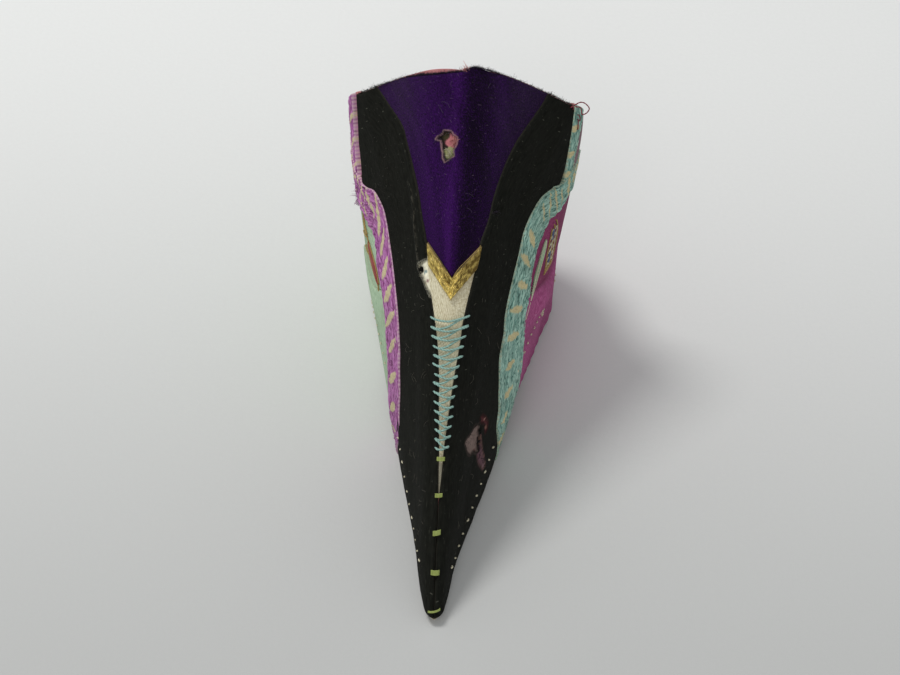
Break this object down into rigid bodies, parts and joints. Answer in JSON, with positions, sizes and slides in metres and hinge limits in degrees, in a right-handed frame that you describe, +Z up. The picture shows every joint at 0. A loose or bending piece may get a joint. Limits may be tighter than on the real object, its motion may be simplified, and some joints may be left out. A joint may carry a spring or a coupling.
{
  "type": "lotus shoe",
  "caption": "Tall pointed cloth shoe for a very small foot, with a velvet front, black side panels, ribbon bands and a covered heel.",
  "frame": {"origin": "middle of the shoe's footprint box, on the floor", "axes": "+Z up, -Y towards the pointed toe, +Y towards the heel, +X to the side of the teal ribbon"},
  "size_m": [0.0546, 0.1311, 0.0885],
  "materials": {
    "lining": "worn pink cotton",
    "velvet": "deep purple pile",
    "gilt": "crinkled gilt leaf on cloth",
    "satin": "cream twill weave",
    "black_cloth": "matt napped cotton",
    "pink_ribbon": "woven floss with cream spots",
    "teal_ribbon": "woven floss with tan spots",
    "sage_cloth": "faded green silk",
    "magenta_cloth": "plain magenta silk",
    "sole_cotton": "layered stitched cotton",
    "heel_wood": "raw soft wood",
    "bed_cotton": "thin cotton pad"
  },
  "bodies": {
    "root": {"upper": "lining", "velvet_panel": "velvet", "gold_trim": "gilt", "satin_gore": "satin", "vamp_left": "black_cloth", "vamp_right": "black_cloth", "wing_ribbon_left": "pink_ribbon", "wing_ribbon_right": "teal_ribbon", "arch_ribbon_left": "pink_ribbon", "arch_ribbon_right": "teal_ribbon", "quarter_left": "sage_cloth", "quarter_right": "magenta_cloth", "heel_cover_left": "sage_cloth", "heel_cover_right": "magenta_cloth", "sole": "sole_cotton", "heel_block": "heel_wood", "insole": "bed_cotton"}
  },
  "joints": []
}
